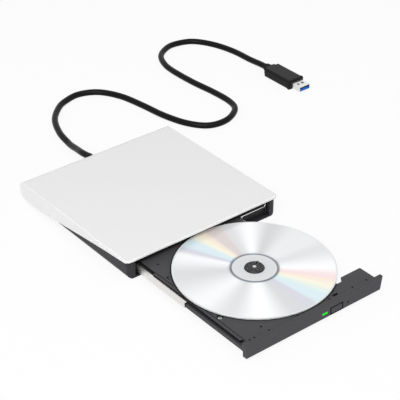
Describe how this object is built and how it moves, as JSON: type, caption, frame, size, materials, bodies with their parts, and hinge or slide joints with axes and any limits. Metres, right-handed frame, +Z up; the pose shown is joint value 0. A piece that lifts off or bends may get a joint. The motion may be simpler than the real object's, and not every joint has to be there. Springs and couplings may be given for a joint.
{
  "type": "external disc drive",
  "caption": "Slim external optical disc drive, white cover over a black base, tray open with a disc on its hub, and a captive lead ending in a flat plug.",
  "frame": {"origin": "on the ground under the middle of the opened drive, lead left out", "axes": "+Z up; +Y from the open tray towards the rolled rear of the case, so the tray comes out along -Y; +X to the right seen from the front"},
  "size_m": [0.3067, 0.4083, 0.018],
  "materials": {
    "white_case": "satin white moulding",
    "black_case": "fine matt black moulding",
    "tray_plastic": "matt charcoal moulding",
    "bezel_plastic": "matt charcoal moulding",
    "casing_steel": "bright zinc-plated sheet",
    "rail_steel": "satin folded strip",
    "small_steel": "plated",
    "rubber": "soft black rubber",
    "board": "green solder mask",
    "dark_plastic": "black engineering plastic",
    "ribbon_film": "white film",
    "coil": "varnished winding",
    "deck": "grey-plated deck",
    "disc_silver": "mirror under clear plastic",
    "lens_glass": "clear",
    "led_green": "lit green light pipe",
    "cord_black": "satin black jacket",
    "plug_steel": "bright plated shell",
    "blue_plastic": "blue insulator",
    "gold": "plated contacts"
  },
  "bodies": {
    "case": {"top_cover": "white_case", "base_shell": "black_case", "feet": "rubber", "base_screws": "small_steel", "drive_pan": "casing_steel", "drive_lid": "casing_steel", "lid_screws": "small_steel", "latch_post": "small_steel", "left_guide": "dark_plastic", "right_guide": "dark_plastic", "main_board": "board", "drive_connector": "dark_plastic", "ribbon": "ribbon_film", "bridge_board": "board", "bridge_socket": "dark_plastic", "cord_gland": "rubber", "cord": "cord_black", "plug_body": "cord_black", "plug_shell": "plug_steel", "plug_tongue": "blue_plastic", "plug_contacts": "gold"},
    "left_rail": {"left_rail": "rail_steel"},
    "right_rail": {"right_rail": "rail_steel"},
    "tray": {"tray": "tray_plastic", "bezel": "bezel_plastic", "light_pipe": "led_green", "front_board": "board", "eject_switch": "dark_plastic", "tray_plate": "casing_steel", "plate_screws": "small_steel", "mount_screws": "small_steel", "dampers": "rubber", "sled_frame": "deck", "guide_rods": "small_steel", "sled_motor": "small_steel", "latch_coil": "coil", "spindle_base": "small_steel", "spindle_stator": "coil"},
    "button": {"eject_button": "bezel_plastic"},
    "latch": {"latch_lever": "dark_plastic"},
    "screw": {"lead_screw": "small_steel"},
    "sled": {"pickup_sled": "dark_plastic"},
    "lens": {"lens_holder": "dark_plastic", "lens": "lens_glass"},
    "spindle": {"spindle_rotor": "small_steel", "disc_pad": "rubber", "clamp_hub": "dark_plastic", "clamp_balls": "small_steel", "disc": "disc_silver"}
  },
  "joints": [
    {"name": "tray_slide", "type": "slide", "parent": "case", "child": "tray", "axis": [0, 1, 0], "range_m": [0, 0.1226]},
    {"name": "left_rail_slide", "type": "slide", "parent": "case", "child": "left_rail", "axis": [0, 1, 0], "range_m": [0, 0.0614]},
    {"name": "right_rail_slide", "type": "slide", "parent": "case", "child": "right_rail", "axis": [0, 1, 0], "range_m": [0, 0.0614]},
    {"name": "disc_spin", "type": "hinge", "parent": "tray", "child": "spindle", "pos_m": [0.001, -0.0665, 0.011], "axis": [0, 0, 1], "continuous": true},
    {"name": "sled_slide", "type": "slide", "parent": "tray", "child": "sled", "axis": [-0.7071, -0.7071, 0], "range_m": [0, 0.029]},
    {"name": "screw_spin", "type": "hinge", "parent": "tray", "child": "screw", "pos_m": [0.01373, -0.07923, 0.0056], "axis": [-0.7071, -0.7071, 0], "range_deg": [-5, 3490]},
    {"name": "lens_focus", "type": "slide", "parent": "sled", "child": "lens", "axis": [0, 0, 1], "range_m": [-0.0003, 0.0003], "stiffness_N_per_m": 20},
    {"name": "eject_press", "type": "slide", "parent": "tray", "child": "button", "axis": [0, 1, 0], "range_m": [0, 0.0007], "stiffness_N_per_m": 400, "springref_m": -0.0006},
    {"name": "latch_turn", "type": "hinge", "parent": "tray", "child": "latch", "pos_m": [0.0245, -0.1235, 0.0045], "axis": [0, 0, 1], "range_deg": [0, 15], "stiffness_Nm_per_rad": 0.002, "springref_deg": -5.73}
  ],
  "couplings": [
    {"joint": "left_rail_slide", "follows": "tray_slide", "ratio": 0.5},
    {"joint": "right_rail_slide", "follows": "tray_slide", "ratio": 0.5},
    {"joint": "screw_spin", "follows": "sled_slide", "rad_per_m": 2094.4}
  ]
}
